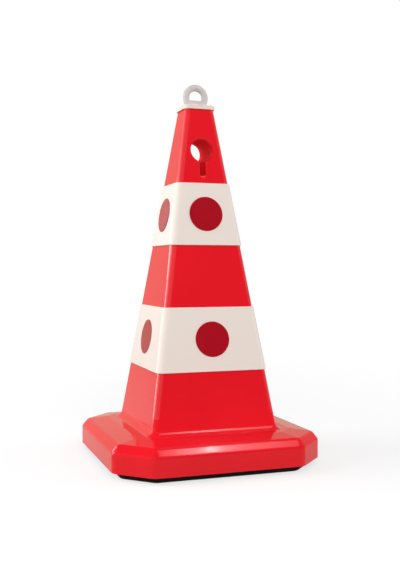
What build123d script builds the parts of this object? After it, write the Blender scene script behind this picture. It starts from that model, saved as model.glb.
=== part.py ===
# Weighted road cone: a hollow square-section cone moulded in one piece with a cut-corner base,
# two slip-on white sleeves with round red reflectors, a moulded eye cap that snaps over the
# cone's top, and a rubber ballast ring screwed up into the hollow base.
# Sizes are in millimetres. The origin is on the ground under the cone's axis, +Z is up, and the
# front, one of the two faces that the keyhole passes through, looks along -Y.
import os
from math import atan, cos, degrees, radians, sin, sqrt, tan

from build123d import *

# Base of the moulded body: the edge height is where the side and the sloping top would meet if the
# slanted shoulder didn't cut that edge off, and the shelf is the flat round the cone's foot
base_width = 411.0
base_corner_cut = 61.5
base_edge_height = 61.3
base_top_slope = 7.5
shelf_width = 20.0
shoulder_drop = 12.6
shoulder_reach = 12.0
shoulder_radius = 10.0
base_corner_radius = 20.0
skirt_bottom = 12.5
skirt_edge_radius = 3.0

# Cone of the moulded body
wall = 3.5
cone_foot_width = 253.7
cone_top_width = 59.0
cone_top_height = 701.0
cone_corner_radius = 11.5
foot_fillet = 15.0

# Keyhole tunnel from front to back, for a chain and its locking link
keyhole_drop = 88.0
keyhole_diameter = 45.0
slot_width = 10.5
slot_reach = 51.0
slot_corner_radius = 3.0
neck_radius = 6.5
keyhole_lip = 4.5

# Sleeves and reflectors
sleeve_wall = 2.6
sleeve_fit = 0.2
sleeve_height = 122.0
sleeve_edge_radius = 0.8
lower_sleeve_rise = 115.3
upper_sleeve_gap = 15.0
reflector_diameter = 68.0
reflector_thickness = 1.2
reflector_bevel = 0.4

# Eye cap: a lid with a rim round the cone's top, an eye above and snap fingers below
cap_plate = 3.5
cap_rim = 5.0
cap_wall = 2.7
cap_fit = 0.3
cap_edge_radius = 2.5
eye_rise = 19.25
eye_ring_diameter = 39.5
eye_rod_diameter = 13.0
eye_floor_drop = 6.0
eye_web_thickness = 7.0
socket_width = 38.0
socket_corner_radius = 3.0
finger_width = 14.0
finger_thickness = 2.5
finger_hook = 1.8
finger_tip = 5.0

# Ballast ring with its screws, washers, bosses and ribs
ballast_inset = 15.5
ballast_top_drop = 15.3
ballast_opening_width = 240.0
ballast_opening_radius = 20.0
ballast_corner_radius = 20.0
ballast_edge_radius = 4.0
screw_spacing = 190.0
screw_diameter = 6.0
screw_head_width = 10.0
screw_head_height = 4.5
screw_engagement = 14.0
screw_tip_room = 1.0
screw_hole_fit = 0.1
screw_passage_fit = 0.5
washer_diameter = 18.0
washer_thickness = 1.6
counterbore_depth = 14.0
counterbore_diameter = 22.0
boss_diameter = 16.0
rib_thickness = 3.0

# Values that follow from the sizes above
base_rise = tan(radians(base_top_slope))
roof_drop = wall / cos(radians(base_top_slope))
corner_face_width = sqrt(2) * (base_width - base_corner_cut)
cone_corner_reach = cone_foot_width / sqrt(2) - (sqrt(2) - 1) * cone_corner_radius
side_room = (base_width - cone_foot_width) / 2
corner_room = corner_face_width / 2 - cone_corner_reach
top_run = min(side_room, corner_room) - shelf_width
cone_foot_height = base_edge_height + top_run * base_rise
cone_taper = (cone_foot_width - cone_top_width) / 2 / (cone_top_height - cone_foot_height)
face_lean = degrees(atan(cone_taper))
keyhole_height = cone_top_height - keyhole_drop
lower_sleeve_bottom = cone_foot_height + lower_sleeve_rise
upper_sleeve_bottom = keyhole_height - slot_reach - upper_sleeve_gap - sleeve_height
cap_top = cone_top_height + cap_plate
cap_bottom = cone_top_height - cap_rim
eye_height = cap_top + eye_rise
ballast_width = base_width - 2 * ballast_inset
ballast_height = base_edge_height - ballast_top_drop
screw_row_width = (ballast_width + ballast_opening_width) / 2
screw_seat = counterbore_depth - washer_thickness
screw_tip = ballast_height + screw_engagement
face_turn = 45
octagon_faces = {0: base_width, 45: corner_face_width, 90: base_width, 135: corner_face_width}
side_angles = {"front": 0, "right": 90, "back": 180, "left": 270}
sleeve_bottoms = {"lower": lower_sleeve_bottom, "upper": upper_sleeve_bottom}


def upright_plane(angle):
    """Upright plane through the axis that faces the front, turned about the axis by an angle."""
    turn = radians(angle)
    return Plane(origin=(0, 0, 0), x_dir=(cos(turn), sin(turn), 0), z_dir=(sin(turn), -cos(turn), 0))


def cone_width(height):
    """Width across the cone's flat faces at a height above the ground."""
    return cone_top_width + 2 * cone_taper * (cone_top_height - height)


def cone_form(bottom, top, growth):
    """Length of the square cone with rounded upright edges, its faces moved out by the growth."""
    spread = growth / cos(radians(face_lean))
    low = cone_width(bottom) / 2 + spread
    high = cone_width(top) / 2 + spread
    with BuildPart() as form:
        for angle in (0, 90):
            with BuildSketch(upright_plane(angle)):
                with BuildLine():
                    Polyline((-low, bottom), (low, bottom), (high, top), (-high, top), close=True)
                make_face()
            extrude(amount=cone_foot_width, both=True, mode=Mode.INTERSECT if angle else Mode.ADD)
        fillet(form.edges().group_by(Axis.Z)[1], cone_corner_radius + growth)
    return form.part


def base_section(plane, half, edge, inset, lip):
    """Upright section of the base: straight sides, slanted shoulders, sloping top and flat shelf."""
    slant_bottom = edge - shoulder_drop + inset / 2
    slant_half = half - shoulder_reach + inset / 2
    slant_top = edge + (half - slant_half) * base_rise
    shelf_half = half + inset - top_run
    shelf_top = edge + (top_run - inset) * base_rise
    with BuildSketch(plane) as section:
        with BuildLine():
            Polyline(
                (-half, slant_bottom),
                (-half, skirt_bottom),
                (half, skirt_bottom),
                (half, slant_bottom),
                (slant_half, slant_top),
                (shelf_half, shelf_top),
                (-shelf_half, shelf_top),
                (-slant_half, slant_top),
                close=True,
            )
        make_face()
        lower, middle, upper = section.vertices().group_by(Axis.Y)[:3]
        fillet(middle + upper, shoulder_radius - inset)
        if lip > 0:
            fillet(lower, lip)
    return section.sketch


def base_form(inset, drop, lip):
    """Cut-corner base: four long prisms crossed, with their eight upright corners turned round."""
    edge = base_edge_height - drop + inset * base_rise
    radius = base_corner_radius - inset
    turn = radians(face_turn)
    with BuildPart() as form:
        for angle, width in octagon_faces.items():
            prism = base_section(upright_plane(angle), width / 2 - inset, edge, inset, lip)
            extrude(prism, amount=base_width, both=True, mode=Mode.INTERSECT if angle else Mode.ADD)
        for angle in range(0, 360, face_turn):
            half = octagon_faces[angle % 180] / 2 - inset
            next_half = octagon_faces[(angle + face_turn) % 180] / 2 - inset
            reach = half - radius
            outward = upright_plane(angle).x_dir
            onward = upright_plane(angle + face_turn).x_dir
            along = Vector(-outward.Y, outward.X, 0)
            slide = (next_half - radius - reach * cos(turn)) / sin(turn)
            pivot = outward * reach + along * slide
            with BuildSketch(Plane.XY.offset(skirt_bottom)):
                with BuildLine():
                    Polyline(
                        pivot,
                        pivot + outward * 2 * radius,
                        pivot + (outward + onward) * 2 * radius,
                        pivot + onward * 2 * radius,
                        close=True,
                    )
                make_face()
            extrude(amount=base_edge_height, mode=Mode.SUBTRACT)
            corner_plane = Plane(origin=along * slide, x_dir=outward, z_dir=along * -1)
            with BuildSketch(corner_plane):
                add(base_section(Plane.XY, half, edge, inset, lip))
                with Locations((half, edge)):
                    Rectangle(2 * radius, 2 * base_edge_height, mode=Mode.INTERSECT)
            revolve(axis=Axis(pivot, (0, 0, 1)), revolution_arc=face_turn)
    return form.part


def keyhole_outline(growth):
    """Round hole with the slot under it, grown outwards all round, on the upright mid plane."""
    with BuildSketch(upright_plane(0)) as outline:
        with Locations((0, keyhole_height)):
            Circle(keyhole_diameter / 2)
        with Locations((0, keyhole_height - slot_reach / 2)):
            Rectangle(slot_width, slot_reach)
        slot_end = outline.vertices().group_by(Axis.Y)[0]
        neck = outline.vertices().group_by(Axis.Y)[1]
        fillet(slot_end, slot_corner_radius)
        fillet(neck, neck_radius)
        if growth > 0:
            offset(amount=growth)
    return outline.sketch


def screw_circles(height, diameter):
    """Circle at each ballast screw, two along every side of the base."""
    with BuildSketch(Plane.XY.offset(height)) as circles:
        with GridLocations(screw_spacing, screw_row_width, 2, 2):
            Circle(diameter / 2)
        with GridLocations(screw_row_width, screw_spacing, 2, 2):
            Circle(diameter / 2)
    return circles.sketch


os.makedirs("parts", exist_ok=True)

# Space inside the moulded body, less the ribs and screw bosses under the base's top and the
# tunnel that carries the keyhole through the cone
base_inside = base_form(wall, roof_drop, 0)
cone_inside = cone_form(skirt_bottom, cone_top_height - wall, -wall)
with BuildPart() as hollow:
    add(base_inside)
    extrude(screw_circles(ballast_height, boss_diameter), amount=cone_foot_height, mode=Mode.SUBTRACT)
    with BuildSketch(Plane.XY.offset(ballast_height)):
        with GridLocations(screw_spacing, 0, 2, 1):
            Rectangle(rib_thickness, base_width)
        with GridLocations(0, screw_spacing, 1, 2):
            Rectangle(base_width, rib_thickness)
    extrude(amount=cone_foot_height, mode=Mode.SUBTRACT)
    add(cone_inside)
    extrude(keyhole_outline(wall), amount=cone_foot_width, both=True, mode=Mode.SUBTRACT)

# Moulded body: cone and base in one shell, open underneath
base_outside = base_form(0, 0, skirt_edge_radius)
cone_outside = cone_form(base_edge_height, cone_top_height, 0)
with BuildPart() as cone_body:
    add(base_outside)
    add(cone_outside)
    fillet(cone_body.edges(Select.NEW), foot_fillet)
    add(hollow.part, mode=Mode.SUBTRACT)
    extrude(keyhole_outline(0), amount=cone_foot_width, both=True, mode=Mode.SUBTRACT)
    fillet(cone_body.edges(Select.LAST).filter_by(Axis.Y, reverse=True), keyhole_lip)
    with BuildSketch(Plane.XY.offset(cone_top_height)):
        RectangleRounded(socket_width, socket_width, socket_corner_radius)
    extrude(amount=-2 * wall, mode=Mode.SUBTRACT)
    pilot_holes = screw_circles(ballast_height, screw_diameter + 2 * screw_hole_fit)
    extrude(pilot_holes, amount=screw_engagement + screw_tip_room, mode=Mode.SUBTRACT)
cone_body.part.label = "cone_body"
export_step(cone_body.part, "parts/cone_body.step")

# Sleeves: slipped over the cone from the top until they wedge on its taper
for name, bottom in sleeve_bottoms.items():
    sleeve_outside = cone_form(bottom, bottom + sleeve_height, sleeve_fit + sleeve_wall)
    sleeve_inside = cone_form(bottom, bottom + sleeve_height, sleeve_fit)
    with BuildPart() as sleeve:
        add(sleeve_outside)
        add(sleeve_inside, mode=Mode.SUBTRACT)
        rims = sleeve.faces().filter_by(Axis.Z)
        fillet([rim.outer_wire().edges() for rim in rims], sleeve_edge_radius)
    sleeve.part.label = f"{name}_sleeve"
    export_step(sleeve.part, f"parts/{name}_sleeve.step")

# Reflectors: round bevelled discs bonded to the middle of each sleeve face
for name, bottom in sleeve_bottoms.items():
    middle = bottom + sleeve_height / 2
    reach = cone_width(middle) / 2 + (sleeve_fit + sleeve_wall) / cos(radians(face_lean))
    for side, angle in side_angles.items():
        outward = upright_plane(angle).z_dir
        seat = Plane(
            origin=outward * reach + Vector(0, 0, middle),
            x_dir=upright_plane(angle).x_dir,
            z_dir=outward * cos(radians(face_lean)) + Vector(0, 0, sin(radians(face_lean))),
        )
        with BuildPart() as reflector:
            with BuildSketch(seat):
                Circle(reflector_diameter / 2)
            extrude(amount=reflector_thickness)
            flats = reflector.faces().filter_by(GeomType.PLANE)
            chamfer(flats.sort_by_distance(Vector(0, 0, middle))[-1].edges(), reflector_bevel)
        reflector.part.label = f"{name}_reflector_{side}"
        export_step(reflector.part, f"parts/{name}_reflector_{side}.step")

# Eye cap: lid over the cone's top with a round eye sunk into it and four fingers snapped into the
# square opening underneath
cap_recess = cone_width(cap_bottom) + 2 * cap_fit
cap_width = cap_recess + 2 * cap_wall
web_width = eye_ring_diameter - eye_rod_diameter / 2
web_height = eye_height - eye_floor_drop - cap_top
finger_face = socket_width / 2 - cap_fit
hook_height = cone_top_height - wall - cap_fit
with BuildPart() as eye_cap:
    with BuildSketch(Plane.XY.offset(cap_bottom)):
        RectangleRounded(cap_width, cap_width, cone_corner_radius + cap_fit + cap_wall)
    extrude(amount=cap_rim + cap_plate)
    fillet(eye_cap.edges().group_by(Axis.Z)[-1], cap_edge_radius)
    with Locations((0, 0, eye_height)):
        Torus(eye_ring_diameter / 2, eye_rod_diameter / 2, rotation=(90, 0, 0))
    with BuildSketch(upright_plane(0)):
        with Locations((0, cap_top)):
            Rectangle(web_width, web_height, align=(Align.CENTER, Align.MIN))
    extrude(amount=eye_web_thickness / 2, both=True)
    with BuildSketch(Plane.XY.offset(cap_bottom)):
        RectangleRounded(cap_recess, cap_recess, cone_corner_radius + cap_fit)
    extrude(amount=cap_rim, both=True, mode=Mode.SUBTRACT)
    for angle in side_angles.values():
        with BuildSketch(upright_plane(angle)):
            with BuildLine():
                Polyline(
                    (finger_face - finger_thickness, cone_top_height),
                    (finger_face, cone_top_height),
                    (finger_face, hook_height),
                    (finger_face + finger_hook, hook_height),
                    (finger_face, hook_height - finger_tip),
                    (finger_face - finger_thickness, hook_height - finger_tip),
                    close=True,
                )
            make_face()
        extrude(amount=finger_width / 2, both=True)
eye_cap.part.label = "eye_cap"
export_step(eye_cap.part, "parts/eye_cap.step")

# Ballast ring: moulded rubber with recessed screw holes, open in the middle so that cones stack
ballast_corner_cut = base_corner_cut - (2 - sqrt(2)) * ballast_inset
with BuildPart() as ballast_ring:
    with BuildSketch():
        Rectangle(ballast_width, ballast_width)
        chamfer(vertices(), ballast_corner_cut)
        fillet(vertices(), ballast_corner_radius)
        RectangleRounded(
            ballast_opening_width, ballast_opening_width, ballast_opening_radius, mode=Mode.SUBTRACT
        )
    extrude(amount=ballast_height)
    fillet(ballast_ring.edges().group_by(Axis.Z)[0], ballast_edge_radius)
    extrude(screw_circles(0, counterbore_diameter), amount=counterbore_depth, mode=Mode.SUBTRACT)
    passages = screw_circles(0, screw_diameter + 2 * screw_passage_fit)
    extrude(passages, amount=ballast_height, mode=Mode.SUBTRACT)
ballast_ring.part.label = "ballast_ring"
export_step(ballast_ring.part, "parts/ballast_ring.step")

# Ballast washers: one against the floor of each recess
with BuildPart() as ballast_washers:
    extrude(screw_circles(screw_seat, washer_diameter), amount=washer_thickness)
    bores = screw_circles(screw_seat, screw_diameter + 2 * screw_passage_fit)
    extrude(bores, amount=washer_thickness, mode=Mode.SUBTRACT)
ballast_washers.part.label = "ballast_washers"
export_step(ballast_washers.part, "parts/ballast_washers.step")

# Ballast screws: hexagon heads under the washers, shanks up into the bosses
with BuildPart() as ballast_screws:
    extrude(screw_circles(screw_seat, screw_diameter), amount=screw_tip - screw_seat)
    with BuildSketch(Plane.XY.offset(screw_seat)):
        with GridLocations(screw_spacing, screw_row_width, 2, 2):
            RegularPolygon(screw_head_width / 2, side_count=6, major_radius=False)
        with GridLocations(screw_row_width, screw_spacing, 2, 2):
            RegularPolygon(screw_head_width / 2, side_count=6, major_radius=False)
    extrude(amount=-screw_head_height)
ballast_screws.part.label = "ballast_screws"
export_step(ballast_screws.part, "parts/ballast_screws.step")
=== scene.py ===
from math import pi, radians, sqrt, tan

import bpy
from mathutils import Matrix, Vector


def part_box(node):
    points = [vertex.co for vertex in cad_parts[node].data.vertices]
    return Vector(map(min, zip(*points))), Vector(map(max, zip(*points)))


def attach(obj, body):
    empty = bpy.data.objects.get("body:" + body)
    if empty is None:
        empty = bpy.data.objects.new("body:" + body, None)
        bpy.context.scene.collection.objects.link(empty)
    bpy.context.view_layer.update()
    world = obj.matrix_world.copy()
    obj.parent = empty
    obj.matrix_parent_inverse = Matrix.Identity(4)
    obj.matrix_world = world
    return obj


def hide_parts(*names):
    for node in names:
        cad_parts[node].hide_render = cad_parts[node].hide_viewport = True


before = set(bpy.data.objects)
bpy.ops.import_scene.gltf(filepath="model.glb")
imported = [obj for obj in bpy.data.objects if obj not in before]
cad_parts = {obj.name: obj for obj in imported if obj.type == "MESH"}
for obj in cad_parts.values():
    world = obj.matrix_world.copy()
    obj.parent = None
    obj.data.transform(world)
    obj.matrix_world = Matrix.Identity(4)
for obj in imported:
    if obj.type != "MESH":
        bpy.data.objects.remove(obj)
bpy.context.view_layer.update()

# Body: one hollow moulding of glossy red polyethylene, cone and base together, open underneath,
# with a faint orange peel and slow sink waves. The core pin leaves the keyhole's tunnel dull, and its
# walls are painted a paler red, as painted light for light through the thin wall. Cones that rub in a
# stack polish the cone's corners.
body_red = (0.790, 0.0110, 0.0205, 1.0)
body_red_deep = (0.745, 0.0095, 0.0180, 1.0)
body_gloss = 0.17
body_roughness = (0.06, 0.10)
pigment_scale = 5.0
polish_scale = 40.0
peel_scale = 260.0
peel_depth = 0.000012
wave_scale = 20.0
wave_depth = 0.00010
tunnel_painted_light_red = (0.960, 0.0260, 0.0400, 1.0)
tunnel_half_width = 0.028
tunnel_half_depth = 0.038
tunnel_heights = (0.552, 0.642)
tunnel_dullness = 0.9
corner_heights = (0.10, 0.70)
corner_fade = (0.0069, 0.0115)
corner_roughness = 0.36
corner_shine = 1.6
noise_core = (0.35, 0.65)
noise_reach = (0.30, 0.70)


def start_finish(name):
    """New material, returned with its node tree and its shader."""
    material = bpy.data.materials.new(name)
    material.use_nodes = True
    return material, material.node_tree, material.node_tree.nodes["Principled BSDF"]


def surface_noise(tree, scale, detail):
    """Noise on the piece's own coordinates, with grains of about 1 / scale metres."""
    place = tree.nodes.new("ShaderNodeTexCoord")
    noise = tree.nodes.new("ShaderNodeTexNoise")
    noise.inputs["Scale"].default_value = scale
    noise.inputs["Detail"].default_value = detail
    tree.links.new(place.outputs["Object"], noise.inputs["Vector"])
    return noise.outputs["Fac"]


def spread(tree, source, low, high, first, last):
    """Number that goes from first to last while the source goes from low to high."""
    span = tree.nodes.new("ShaderNodeMapRange")
    span.inputs["From Min"].default_value = low
    span.inputs["From Max"].default_value = high
    span.inputs["To Min"].default_value = first
    span.inputs["To Max"].default_value = last
    tree.links.new(source, span.inputs["Value"])
    return span.outputs["Result"]


def patches(tree, scale, detail=3.0):
    """Soft patches between 0 and 1, about 1 / scale metres wide."""
    return spread(tree, surface_noise(tree, scale, detail), *noise_core, 0.0, 1.0)


def combine(tree, operation, *values):
    """Sum, product or other combination of numbers."""
    node = tree.nodes.new("ShaderNodeMath")
    node.operation = operation
    for socket, value in zip(node.inputs, values):
        if isinstance(value, float):
            socket.default_value = value
        else:
            tree.links.new(value, socket)
    return node.outputs["Value"]


def blend_colour(tree, factor, first, second):
    """Colour that goes from the first to the second as the factor goes from 0 to 1."""
    mix = tree.nodes.new("ShaderNodeMix")
    mix.data_type = "RGBA"
    tree.links.new(factor, mix.inputs["Factor"])
    for socket, colour in zip((mix.inputs[6], mix.inputs[7]), (first, second)):
        if isinstance(colour, tuple):
            socket.default_value = colour
        else:
            tree.links.new(colour, socket)
    return mix.outputs[2]


def raise_surface(tree, height, depth, under=None):
    """Bump of a depth in metres from a height between 0 and 1, over an earlier bump if given."""
    bump = tree.nodes.new("ShaderNodeBump")
    bump.inputs["Distance"].default_value = depth
    tree.links.new(height, bump.inputs["Height"])
    if under:
        tree.links.new(under, bump.inputs["Normal"])
    return bump.outputs["Normal"]


def place_on_piece(tree):
    """Coordinates X, Y and Z of a point of the piece, in metres."""
    place = tree.nodes.new("ShaderNodeTexCoord")
    axes = tree.nodes.new("ShaderNodeSeparateXYZ")
    tree.links.new(place.outputs["Object"], axes.inputs["Vector"])
    return axes.outputs["X"], axes.outputs["Y"], axes.outputs["Z"]


def within(tree, source, low, high):
    """1 where the source lies between two values and 0 elsewhere."""
    return combine(
        tree,
        "MULTIPLY",
        combine(tree, "GREATER_THAN", source, low),
        combine(tree, "LESS_THAN", source, high),
    )


body_finish, tree, shader = start_finish("body_red")
plain_red = blend_colour(tree, patches(tree, pigment_scale), body_red_deep, body_red)
across, deep, up = place_on_piece(tree)
in_tunnel = combine(
    tree,
    "MULTIPLY",
    within(tree, up, *tunnel_heights),
    combine(
        tree,
        "MULTIPLY",
        within(tree, across, -tunnel_half_width, tunnel_half_width),
        within(tree, deep, -tunnel_half_depth, tunnel_half_depth),
    ),
)
# Painted light: the tunnel's walls get a paler red than the rest of the body, for light through the
# thin wall.
tree.links.new(blend_colour(tree, in_tunnel, plain_red, tunnel_painted_light_red), shader.inputs["Base Color"])
polish = spread(tree, surface_noise(tree, polish_scale, detail=4.0), *noise_reach, *body_roughness)
dull = combine(tree, "MULTIPLY", in_tunnel, tunnel_dullness)
tree.links.new(combine(tree, "ADD", polish, dull), shader.inputs["Roughness"])
shader.inputs["Specular IOR Level"].default_value = body_gloss
to_side = combine(tree, "ABSOLUTE", across)
to_front = combine(tree, "ABSOLUTE", deep)
off_corner = combine(tree, "ABSOLUTE", combine(tree, "SUBTRACT", to_side, to_front))
on_corner = spread(tree, off_corner, *corner_fade, 1.0, 0.0)
on_cone = combine(tree, "SUBTRACT", within(tree, up, *corner_heights), in_tunnel)
tree.links.new(combine(tree, "MULTIPLY", on_corner, on_cone), shader.inputs["Coat Weight"])
shader.inputs["Coat Roughness"].default_value = corner_roughness
shader.inputs["Coat IOR"].default_value = corner_shine
waves = raise_surface(tree, surface_noise(tree, wave_scale, detail=1.0), wave_depth)
peel = raise_surface(tree, surface_noise(tree, peel_scale, detail=2.0), peel_depth, waves)
tree.links.new(peel, shader.inputs["Normal"])
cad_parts["cone_body"].material_slots[0].material = body_finish

# Sleeves: tapered bands of white retroreflective sheet on a stiff plastic backing, pushed down
# the cone until they wedge. The clear face of the sheet is sealed to it in small hexagon cells.
sleeve_white = (0.795, 0.705, 0.640, 1.0)
sleeve_white_cool = (0.790, 0.705, 0.645, 1.0)
sleeve_seam_white = (0.785, 0.695, 0.630, 1.0)
sleeve_cell = 0.0036
sleeve_cloud_scale = 9.0
sleeve_roughness = (0.34, 0.36)
sleeve_gloss = 0.15
cell_reach = 0.55
cell_depth = 0.000002
seam_range = (0.80, 0.98)
sheet_wave_scale = 6.0


def face_plan(tree):
    """Place of a point on its upright face: across the face and up, in metres."""
    place = tree.nodes.new("ShaderNodeTexCoord")
    where = tree.nodes.new("ShaderNodeSeparateXYZ")
    facing = tree.nodes.new("ShaderNodeSeparateXYZ")
    tree.links.new(place.outputs["Object"], where.inputs["Vector"])
    tree.links.new(place.outputs["Normal"], facing.inputs["Vector"])
    sideways = combine(
        tree,
        "GREATER_THAN",
        combine(tree, "MULTIPLY", facing.outputs["X"], facing.outputs["X"]),
        combine(tree, "MULTIPLY", facing.outputs["Y"], facing.outputs["Y"]),
    )
    across = tree.nodes.new("ShaderNodeMix")
    tree.links.new(sideways, across.inputs["Factor"])
    tree.links.new(where.outputs["X"], across.inputs["A"])
    tree.links.new(where.outputs["Y"], across.inputs["B"])
    plan = tree.nodes.new("ShaderNodeCombineXYZ")
    tree.links.new(across.outputs["Result"], plan.inputs["X"])
    tree.links.new(where.outputs["Z"], plan.inputs["Y"])
    return plan.outputs["Vector"]


def hexagon_cells(tree, plan, width):
    """Distance from the middle of the nearest cell of a honeycomb: 0 there, about 1 at the seams."""
    height = width * sqrt(3)
    nearest = []
    for shift in (0.0, 0.5):
        wrapped = tree.nodes.new("ShaderNodeVectorMath")
        wrapped.operation = "WRAP"
        tree.links.new(plan, wrapped.inputs[0])
        wrapped.inputs[1].default_value = (width * (1.0 + shift), height * (1.0 + shift), 1.0)
        wrapped.inputs[2].default_value = (width * shift, height * shift, -1.0)
        centred = tree.nodes.new("ShaderNodeVectorMath")
        centred.operation = "SUBTRACT"
        tree.links.new(wrapped.outputs["Vector"], centred.inputs[0])
        centred.inputs[1].default_value = (width * (0.5 + shift), height * (0.5 + shift), 0.0)
        away = tree.nodes.new("ShaderNodeVectorMath")
        away.operation = "LENGTH"
        tree.links.new(centred.outputs["Vector"], away.inputs[0])
        nearest.append(away.outputs["Value"])
    return spread(tree, combine(tree, "MINIMUM", *nearest), 0.0, width * cell_reach, 0.0, 1.0)


def sheet_finish(name, first, second, seam_colour, cell, cloud_scale, roughness, gloss):
    """Finish of retroreflective sheet: clouds of two colours under a net of sunken seams."""
    material, tree, shader = start_finish(name)
    cells = hexagon_cells(tree, face_plan(tree), cell)
    seams = spread(tree, cells, *seam_range, 0.0, 1.0)
    sheet_colour = blend_colour(tree, patches(tree, cloud_scale), first, second)
    tree.links.new(blend_colour(tree, seams, sheet_colour, seam_colour), shader.inputs["Base Color"])
    sheen = spread(tree, surface_noise(tree, sheet_wave_scale, detail=1.0), *noise_reach, *roughness)
    tree.links.new(sheen, shader.inputs["Roughness"])
    shader.inputs["Specular IOR Level"].default_value = gloss
    tree.links.new(raise_surface(tree, cells, -cell_depth), shader.inputs["Normal"])
    return material


sleeve_finish = sheet_finish(
    "sleeve_white",
    sleeve_white_cool,
    sleeve_white,
    sleeve_seam_white,
    sleeve_cell,
    sleeve_cloud_scale,
    sleeve_roughness,
    sleeve_gloss,
)
for name in ("lower_sleeve", "upper_sleeve"):
    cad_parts[name].material_slots[0].material = sleeve_finish

# Reflectors: round discs of red retroreflective sheet with a bevelled rim, bonded to the sleeves.
# The cells are smaller than those of the white sheet and show as a darker net.
reflector_red = (0.410, 0.0040, 0.0130, 1.0)
reflector_red_deep = (0.375, 0.0035, 0.0112, 1.0)
reflector_seam_red = (0.340, 0.0032, 0.0100, 1.0)
reflector_cell = 0.0024
reflector_cloud_scale = 30.0
reflector_roughness = (0.21, 0.23)
reflector_gloss = 0.2
reflector_finish = sheet_finish(
    "reflector_red",
    reflector_red_deep,
    reflector_red,
    reflector_seam_red,
    reflector_cell,
    reflector_cloud_scale,
    reflector_roughness,
    reflector_gloss,
)
for name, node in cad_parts.items():
    if "reflector" in name:
        node.material_slots[0].material = reflector_finish

# Eye cap: off-white moulded lid with an upright eye, pressed over the cone's top until its four
# fingers snap. It comes from a finely eroded mould, so it is satin with a fine even grain. The eye
# is painted from the lid's white to grey going up, as painted shade.
cap_white = (0.770, 0.680, 0.615, 1.0)
cap_white_warm = (0.740, 0.645, 0.575, 1.0)
cap_cloud_scale = 25.0
cap_grain_scale = 900.0
cap_grain_depth = 0.00002
cap_roughness = (0.44, 0.54)
cap_gloss = 0.2
eye_painted_shade_grey = (0.590, 0.545, 0.530, 1.0)
eye_heights = (0.704, 0.716)
cap_finish, tree, shader = start_finish("cap_white")
lid_white = blend_colour(tree, patches(tree, cap_cloud_scale), cap_white_warm, cap_white)
across, deep, up = place_on_piece(tree)
# Painted shade: the eye turns grey above the lid.
painted_eye_shade = spread(tree, up, *eye_heights, 0.0, 1.0)
tree.links.new(blend_colour(tree, painted_eye_shade, lid_white, eye_painted_shade_grey), shader.inputs["Base Color"])
grain = surface_noise(tree, cap_grain_scale, detail=2.0)
tree.links.new(spread(tree, grain, *noise_reach, *cap_roughness), shader.inputs["Roughness"])
shader.inputs["Specular IOR Level"].default_value = cap_gloss
tree.links.new(raise_surface(tree, grain, cap_grain_depth), shader.inputs["Normal"])
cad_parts["eye_cap"].material_slots[0].material = cap_finish

# Ballast: heavy ring pressed from black rubber granulate, screwed up into the hollow base.
# The granules stay visible as small dull lumps in slightly different blacks and browns.
rubber_black = (0.0060, 0.0056, 0.0054, 1.0)
rubber_brown = (0.0140, 0.0115, 0.0105, 1.0)
rubber_roughness = (0.65, 0.85)
rubber_gloss = 0.2
brown_from = 0.55
granule_scale = 330.0
granule_reach = 0.7
granule_depth = 0.0004
rubber_finish, tree, shader = start_finish("ballast_black")
place = tree.nodes.new("ShaderNodeTexCoord")
granules = tree.nodes.new("ShaderNodeTexVoronoi")
granules.inputs["Scale"].default_value = granule_scale
tree.links.new(place.outputs["Object"], granules.inputs["Vector"])
tone = tree.nodes.new("ShaderNodeSeparateColor")
tree.links.new(granules.outputs["Color"], tone.inputs["Color"])
shade = spread(tree, tone.outputs["Red"], brown_from, 1.0, 0.0, 1.0)
tree.links.new(blend_colour(tree, shade, rubber_black, rubber_brown), shader.inputs["Base Color"])
dullness = spread(tree, tone.outputs["Green"], 0.0, 1.0, *rubber_roughness)
tree.links.new(dullness, shader.inputs["Roughness"])
shader.inputs["Specular IOR Level"].default_value = rubber_gloss
lump = spread(tree, granules.outputs["Distance"], 0.0, granule_reach, 1.0, 0.0)
tree.links.new(raise_surface(tree, lump, granule_depth), shader.inputs["Normal"])
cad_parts["ballast_ring"].material_slots[0].material = rubber_finish

# Washers: punched from zinc plated sheet steel, one against the floor of each recess in the
# ballast. The plating clouds a little and carries fine marks from the tumbling.
zinc_bright = (0.640, 0.650, 0.660, 1.0)
zinc_cloudy = (0.520, 0.520, 0.500, 1.0)
zinc_cloud_scale = 160.0
zinc_roughness = (0.26, 0.42)
tumble_scale = 1500.0
tumble_depth = 0.00001
zinc_finish, tree, shader = start_finish("screw_zinc")
clouds = patches(tree, zinc_cloud_scale, detail=4.0)
tree.links.new(blend_colour(tree, clouds, zinc_bright, zinc_cloudy), shader.inputs["Base Color"])
tree.links.new(spread(tree, clouds, 0.0, 1.0, *zinc_roughness), shader.inputs["Roughness"])
marks = raise_surface(tree, surface_noise(tree, tumble_scale, detail=3.0), tumble_depth)
tree.links.new(marks, shader.inputs["Normal"])
shader.inputs["Metallic"].default_value = 1.0
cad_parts["ballast_washers"].material_slots[0].material = zinc_finish

# Screws: eight zinc plated steel screws with a coarse rolled thread that forms its own way into
# the plastic of the bosses. The hexagon head is forged with a chamfer and a shallow dish, and
# pulls the washer and the ballast up.
head_width = 0.010
head_height = 0.0045
chamfer_circle = 0.0096
chamfer_slope = radians(30)
chamfer_sides = 48
dish_wall = 0.0011
dish_depth = 0.0006
dish_draft = 0.9
plain_diameter = 0.0052
plain_sides = 32
thread_diameter = 0.0060
thread_root = 0.0043
thread_pitch = 0.0022
thread_length = 0.0242
thread_crest = 0.0003
thread_steps = 24
spare_turns = 2
weld_distance = 0.00001
cut_distance = 0.000001
smooth_angle = radians(35)
screw_spacing = 0.190
screws_low, screws_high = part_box("ballast_screws")
head_bottom = screws_low.z
head_middle = head_bottom + head_height / 2
thread_start = screws_high.z - thread_length
screw_row = min(screws_high.x, screws_high.y) - head_width / 2


def select_alone(piece):
    """Make a piece the only selected one and the active one."""
    bpy.ops.object.select_all(action="DESELECT")
    piece.select_set(True)
    bpy.context.view_layer.objects.active = piece


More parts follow.
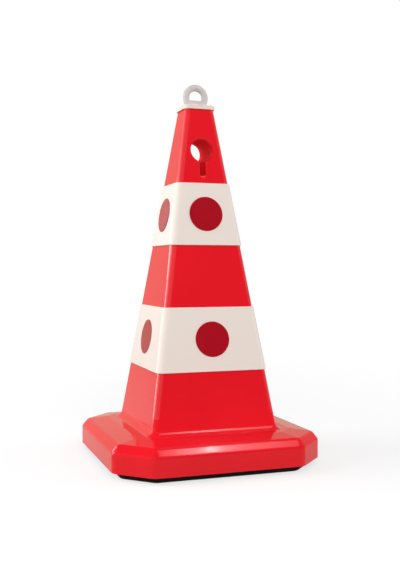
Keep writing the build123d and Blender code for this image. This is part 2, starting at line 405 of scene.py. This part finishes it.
def merge_into(piece, other, operation):
    """Change a piece into its union or intersection with another, which is used up."""
    select_alone(piece)
    step = piece.modifiers.new("merge", "BOOLEAN")
    step.operation = operation
    step.object = other
    bpy.ops.object.modifier_apply(modifier=step.name)
    bpy.data.objects.remove(other)


bpy.ops.object.select_all(action="DESELECT")
bpy.ops.mesh.primitive_cylinder_add(
    vertices=6,
    radius=head_width / sqrt(3),
    depth=head_height,
    location=(0.0, 0.0, head_middle),
    rotation=(0.0, 0.0, radians(90)),
)
screw = bpy.context.active_object
bpy.ops.object.transform_apply()
cone_height = head_width
cone_tip = head_bottom - chamfer_circle / 2 * tan(chamfer_slope)
bpy.ops.mesh.primitive_cone_add(
    vertices=chamfer_sides,
    radius1=0.0,
    radius2=cone_height / tan(chamfer_slope),
    depth=cone_height,
    location=(0.0, 0.0, cone_tip + cone_height / 2),
)
merge_into(screw, bpy.context.active_object, "INTERSECT")
bpy.ops.object.mode_set(mode="EDIT")
bpy.ops.mesh.select_mode(type="FACE")
bpy.ops.mesh.select_all(action="DESELECT")
bpy.ops.object.mode_set(mode="OBJECT")
for face in screw.data.polygons:
    face.select = face.normal.z < -0.99
bpy.ops.object.mode_set(mode="EDIT")
bpy.ops.mesh.inset(thickness=dish_wall)
bpy.ops.mesh.extrude_region_move(TRANSFORM_OT_translate={"value": (0.0, 0.0, dish_depth)})
bpy.ops.transform.resize(value=(dish_draft, dish_draft, 1.0), center_override=(0.0, 0.0, head_bottom))
bpy.ops.object.mode_set(mode="OBJECT")

shank_top = thread_start + thread_pitch
bpy.ops.object.select_all(action="DESELECT")
bpy.ops.mesh.primitive_cylinder_add(
    vertices=plain_sides,
    radius=plain_diameter / 2,
    depth=shank_top - head_middle,
    location=(0.0, 0.0, (shank_top + head_middle) / 2),
)
merge_into(screw, bpy.context.active_object, "UNION")

bpy.ops.object.select_all(action="DESELECT")
bpy.ops.mesh.primitive_plane_add(
    size=thread_pitch, location=(thread_root / 2, 0.0, thread_start - spare_turns * thread_pitch)
)
thread = bpy.context.active_object
bpy.ops.object.transform_apply(location=True)
bpy.ops.object.mode_set(mode="EDIT")
bpy.ops.mesh.select_mode(type="VERT")
bpy.ops.mesh.select_all(action="SELECT")
bpy.ops.mesh.merge(type="CENTER")
ridge = (thread_diameter - thread_root) / 2
flank = (thread_pitch - thread_crest) / 3
for outwards, upwards in ((ridge, flank), (0.0, thread_crest), (-ridge, flank), (0.0, flank)):
    bpy.ops.mesh.extrude_region_move(TRANSFORM_OT_translate={"value": (outwards, 0.0, upwards)})
bpy.ops.object.mode_set(mode="OBJECT")
turns = thread.modifiers.new("turns", "SCREW")
turns.screw_offset = thread_pitch
turns.iterations = round(thread_length / thread_pitch) + 2 * spare_turns
turns.steps = turns.render_steps = thread_steps
bpy.ops.object.modifier_apply(modifier=turns.name)
bpy.ops.object.mode_set(mode="EDIT")
bpy.ops.mesh.select_all(action="SELECT")
bpy.ops.mesh.remove_doubles(threshold=weld_distance)
for height, upper_end in ((thread_start, False), (screws_high.z, True)):
    bpy.ops.mesh.select_all(action="SELECT")
    bpy.ops.mesh.bisect(
        plane_co=(0.0, 0.0, height),
        plane_no=(0.0, 0.0, 1.0),
        use_fill=True,
        clear_inner=not upper_end,
        clear_outer=upper_end,
        threshold=cut_distance,
    )
bpy.ops.mesh.select_all(action="SELECT")
bpy.ops.mesh.normals_make_consistent(inside=False)
bpy.ops.object.mode_set(mode="OBJECT")
merge_into(screw, thread, "UNION")
bpy.ops.object.shade_smooth_by_angle(angle=smooth_angle)

copies = []
for along_x, along_y in ((screw_spacing / 2, screw_row), (screw_row, screw_spacing / 2)):
    for side_x in (-1, 1):
        for side_y in (-1, 1):
            select_alone(screw)
            bpy.ops.object.duplicate()
            bpy.ops.transform.translate(value=(side_x * along_x, side_y * along_y, 0.0))
            bpy.ops.object.transform_apply(location=True)
            copies.append(bpy.context.active_object)
bpy.data.objects.remove(screw)
bpy.ops.object.select_all(action="DESELECT")
for copy in copies:
    copy.select_set(True)
bpy.ops.object.join()
screws = bpy.context.active_object
screws.name = "threaded_screws"
screws.data.materials.append(zinc_finish)
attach(screws, "root")
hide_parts("ballast_screws")

# Camera: at the photograph's place, to the left of the front and half way up the cone, with a
# lens that is a little longer than a normal one.
camera_place = (-0.5309, -1.5747, 0.3810)
camera_turn = (88.8, 0.0, -18.96)
camera_sensor = 36.0
camera_lens = 51.75
camera_data = bpy.data.cameras.new("camera")
camera_data.sensor_width = camera_sensor
camera_data.lens = camera_lens
camera = bpy.data.objects.new("camera", camera_data)
camera.location = camera_place
camera.rotation_euler = [radians(turn) for turn in camera_turn]
bpy.context.scene.collection.objects.link(camera)
bpy.context.scene.camera = camera

# Floor: a wide sheet of white paper. It glows a little towards the camera and in reflections,
# more so far away where the lamps don't reach, so that it stays white up to the horizon. Gloss
# shows it warm and a little weaker, as the tent's cloth below.
floor_width = 60.0
paper_white = (0.35, 0.35, 0.35, 1.0)
paper_roughness = 0.9
glow_white = (1.0, 1.0, 1.0, 1.0)
glow_in_gloss = (0.67, 0.63, 0.51, 1.0)
glow_near = 0.64
glow_far = 0.89
lamps_reach = (0.6, 3.5)


def seen_directly(tree):
    """1 for what the camera sees, also in gloss and through clear things, and 0 for other light."""
    path = tree.nodes.new("ShaderNodeLightPath")
    seen = combine(tree, "MAXIMUM", path.outputs["Is Camera Ray"], path.outputs["Is Glossy Ray"])
    return combine(tree, "MAXIMUM", seen, path.outputs["Is Transmission Ray"])


bpy.ops.object.select_all(action="DESELECT")
bpy.ops.mesh.primitive_plane_add(size=floor_width)
floor = bpy.context.active_object
floor.name = "floor"
floor_finish, tree, shader = start_finish("floor_paper")
shader.inputs["Base Color"].default_value = paper_white
shader.inputs["Roughness"].default_value = paper_roughness
shader.inputs["Specular IOR Level"].default_value = 0.0
in_gloss = tree.nodes.new("ShaderNodeLightPath").outputs["Is Glossy Ray"]
tree.links.new(blend_colour(tree, in_gloss, glow_white, glow_in_gloss), shader.inputs["Emission Color"])
place = tree.nodes.new("ShaderNodeTexCoord")
away = tree.nodes.new("ShaderNodeVectorMath")
away.operation = "LENGTH"
tree.links.new(place.outputs["Object"], away.inputs[0])
glow = spread(tree, away.outputs["Value"], *lamps_reach, glow_near, glow_far)
tree.links.new(combine(tree, "MULTIPLY", glow, seen_directly(tree)), shader.inputs["Emission Strength"])
floor.data.materials.append(floor_finish)

# Room: white all round for the camera, also in gloss and through clear things, with a weak even
# light of its own.
room_white = (1.0, 1.0, 1.0, 1.0)
room_light = 0.42
world = bpy.data.worlds.new("room")
world.use_nodes = True
bpy.context.scene.world = world
tree = world.node_tree
sky = tree.nodes["Background"]
sky.inputs["Color"].default_value = room_white
tree.links.new(spread(tree, seen_directly(tree), 0.0, 1.0, room_light, 1.0), sky.inputs["Strength"])

# Tent: a dark dome round the set that shows in gloss alone. It is pale low down at the back and
# left, so the faces seen at a slant turn salmon, and dark elsewhere, so the front stays deep red.
# Soft patches lit overhead, one of them small, draw the light band along the base's shoulder.
tent_radius = 6.0
tent_segments = 48
tent_rings = 24
tent_black = (0.0, 0.0, 0.0, 1.0)
tent_pale = 0.74
tent_dark = 0.05
tent_warm_white = (1.0, 0.95, 0.78, 1.0)
tent_pale_side = (-0.5, 0.866, 0.0)
tent_pale_range = (-0.80 * tent_radius, 0.35 * tent_radius)
tent_up = (0.0, 0.0, 1.0)
tent_low_range = (0.52 * tent_radius, 0.72 * tent_radius)
tent_patch_white = (1.0, 1.0, 1.0, 1.0)
tent_patches = (
    ((1.80, -2.75, 5.0), (0.47, 1.9, 3.0), 12.0),
    ((2.14, -2.40, 5.0), (0.85, 2.6, 3.0), 8.0),
    ((1.90, -2.36, 5.18), (0.05, 0.08, 0.5), 220.0),
)


def reach_along(tree, point, direction):
    """How far a point lies along a direction, in metres."""
    side = tree.nodes.new("ShaderNodeVectorMath")
    side.operation = "DOT_PRODUCT"
    tree.links.new(point, side.inputs[0])
    side.inputs[1].default_value = direction
    return side.outputs["Value"]


def lit_patch(tree, point, centre, reach, brightness):
    """Soft patch of light: as bright as stated in the middle and dark at its reach along each axis."""
    away = tree.nodes.new("ShaderNodeVectorMath")
    away.operation = "SUBTRACT"
    tree.links.new(point, away.inputs[0])
    away.inputs[1].default_value = centre
    share = tree.nodes.new("ShaderNodeVectorMath")
    share.operation = "DIVIDE"
    tree.links.new(away.outputs["Vector"], share.inputs[0])
    share.inputs[1].default_value = reach
    length = tree.nodes.new("ShaderNodeVectorMath")
    length.operation = "LENGTH"
    tree.links.new(share.outputs["Vector"], length.inputs[0])
    fall = tree.nodes.new("ShaderNodeMapRange")
    fall.interpolation_type = "SMOOTHSTEP"
    fall.inputs["To Min"].default_value = brightness
    fall.inputs["To Max"].default_value = 0.0
    tree.links.new(length.outputs["Value"], fall.inputs["Value"])
    return fall.outputs["Result"]


bpy.ops.object.select_all(action="DESELECT")
bpy.ops.mesh.primitive_uv_sphere_add(radius=tent_radius, segments=tent_segments, ring_count=tent_rings)
tent = bpy.context.active_object
tent.name = "tent"
tent.visible_camera = False
tent.visible_diffuse = False
tent.visible_shadow = False
tent_finish, tree, shader = start_finish("tent_cloth")
shader.inputs["Base Color"].default_value = tent_black
shader.inputs["Specular IOR Level"].default_value = 0.0
point = tree.nodes.new("ShaderNodeTexCoord").outputs["Object"]
towards_pale = spread(tree, reach_along(tree, point, tent_pale_side), *tent_pale_range, 0.0, 1.0)
low_part = spread(tree, reach_along(tree, point, tent_up), *tent_low_range, 1.0, 0.0)
cloth = spread(tree, combine(tree, "MULTIPLY", towards_pale, low_part), 0.0, 1.0, tent_dark, tent_pale)
light = cloth
for centre, reach, brightness in tent_patches:
    light = combine(tree, "ADD", light, lit_patch(tree, point, centre, reach, brightness))
warmth = combine(tree, "DIVIDE", cloth, light)
light_colour = blend_colour(tree, warmth, tent_patch_white, tent_warm_white)
tree.links.new(light_colour, shader.inputs["Emission Color"])
tree.links.new(light, shader.inputs["Emission Strength"])
tent.data.materials.append(tent_finish)

# Lamps: three panels on the left, one above the other, draw the bright line down the cone's front
# left edge, and a fourth further back whitens the left faces of the sleeves. They show in gloss
# alone. Three soft fills light the cone without gloss.
panel_cool_white = (0.93, 0.90, 1.0)
panel_left = -1.58
panel_middle = 0.98
panel_width = 0.86
left_panels = (
    ("low_panel", 0.335, 0.55, 7.4),
    ("high_panel", 0.81, 0.40, 6.4),
    ("upper_panel", 1.39, 0.76, 0.6),
)
back_panel_place = (-1.58, 2.50, 1.00)
back_panel_target = (0.0, 0.0, 0.55)
back_panel_size = (0.80, 0.50)
back_panel_radiance = 8.0
fill_size = (2.0, 1.6)
fills = (
    ("front_fill", (-0.6, -2.8, 1.4), (0.0, 0.0, 0.4), 5.25),
    ("left_fill", (-2.35, 0.7, 1.35), (0.0, 0.0, 0.5), 5.55),
    ("right_fill", (3.0, -0.6, 1.2), (0.0, 0.0, 0.2), 3.7),
)


def soft_box(name, place, target, width, length, radiance):
    """Rectangular lamp that faces a point and is as bright as the radiance says."""
    data = bpy.data.lights.new(name, "AREA")
    data.shape = "RECTANGLE"
    data.size = width
    data.size_y = length
    data.energy = radiance * pi * width * length
    lamp = bpy.data.objects.new(name, data)
    lamp.location = place
    aim = Vector(target) - Vector(place)
    lamp.rotation_euler = aim.to_track_quat("-Z", "Y").to_euler()
    lamp.visible_camera = False
    bpy.context.scene.collection.objects.link(lamp)
    return lamp


panels = []
for name, height, length, radiance in left_panels:
    panel_place = (panel_left, panel_middle, height)
    panel_target = (0.0, panel_middle, height)
    panels.append(soft_box(name, panel_place, panel_target, panel_width, length, radiance))
panels.append(
    soft_box("back_panel", back_panel_place, back_panel_target, *back_panel_size, back_panel_radiance)
)
for panel in panels:
    panel.data.color = panel_cool_white
    panel.visible_diffuse = False
for name, fill_place, fill_target, radiance in fills:
    fill = soft_box(name, fill_place, fill_target, *fill_size, radiance)
    fill.visible_glossy = False

# Picture: colours come out as they are written.
bpy.context.scene.view_settings.view_transform = "Standard"
